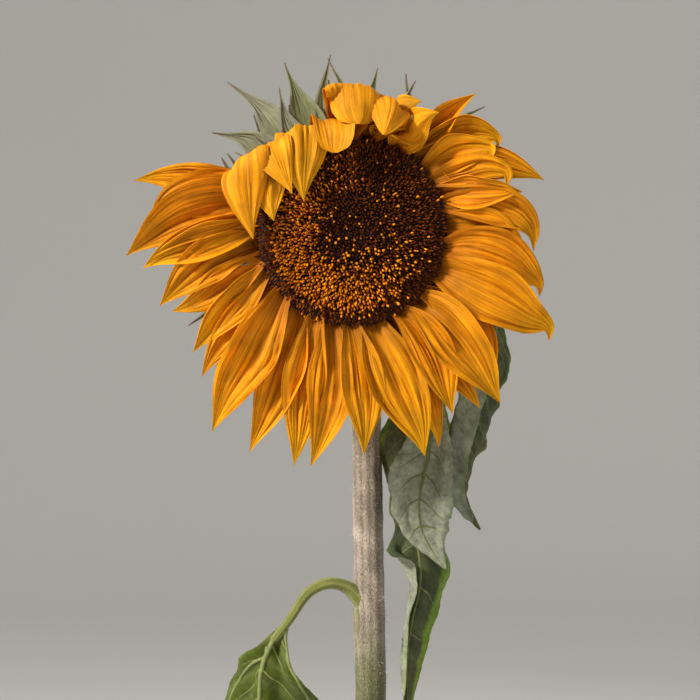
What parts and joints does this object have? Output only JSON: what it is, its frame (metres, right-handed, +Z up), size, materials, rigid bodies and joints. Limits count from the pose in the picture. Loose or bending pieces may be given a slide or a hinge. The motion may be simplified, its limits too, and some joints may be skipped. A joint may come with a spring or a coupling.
{
  "type": "sunflower plant",
  "caption": "Upright single-stemmed flowering plant with one large nodding head of yellow rays round a brown disc, pointed green bracts and wilted hanging leaves.",
  "frame": {"origin": "middle of the flat cut under the stem, at ground level", "axes": "+Z up the stem; the flower faces -Y; +X is on the right of someone who looks at the flower"},
  "size_m": [0.3257, 0.2716, 1.2842],
  "materials": {
    "stem": "matt grey-green, ribbed, with stiff pale bristles",
    "petioles": "matt olive green, grooved and hairy",
    "leaves": "matt dark grey-green, wilted, with pale raised veins",
    "bracts": "matt pale grey-green with dry brown tips",
    "receptacle": "matt green, hairy",
    "disc": "dense dark brown florets with orange-gold tips",
    "rays": "satin golden yellow, pleated lengthwise, orange at the base"
  },
  "bodies": {
    "root": {"stem": "stem", "neck": "stem", "disc": "disc", "receptacle": "receptacle", "rays_01": "rays", "rays_02": "rays", "rays_03": "rays", "rays_04": "rays", "rays_05": "rays", "rays_06": "rays", "rays_07": "rays", "rays_08": "rays", "rays_09": "rays", "rays_10": "rays", "rays_11": "rays", "rays_12": "rays", "rays_13": "rays", "rays_14": "rays", "rays_15": "rays", "bracts_01": "bracts", "bracts_02": "bracts", "bracts_03": "bracts", "bracts_04": "bracts", "bracts_05": "bracts", "bracts_06": "bracts", "bracts_07": "bracts", "bracts_08": "bracts", "petiole_01": "petioles", "leaf_01": "leaves", "petiole_02": "petioles", "leaf_02": "leaves", "petiole_03": "petioles", "leaf_03": "leaves", "petiole_04": "petioles", "leaf_04": "leaves", "petiole_05": "petioles", "leaf_05": "leaves", "petiole_06": "petioles", "leaf_06": "leaves", "petiole_07": "petioles", "leaf_07": "leaves", "petiole_08": "petioles", "leaf_08": "leaves", "petiole_09": "petioles", "leaf_09": "leaves", "petiole_10": "petioles", "leaf_10": "leaves"}
  },
  "joints": []
}
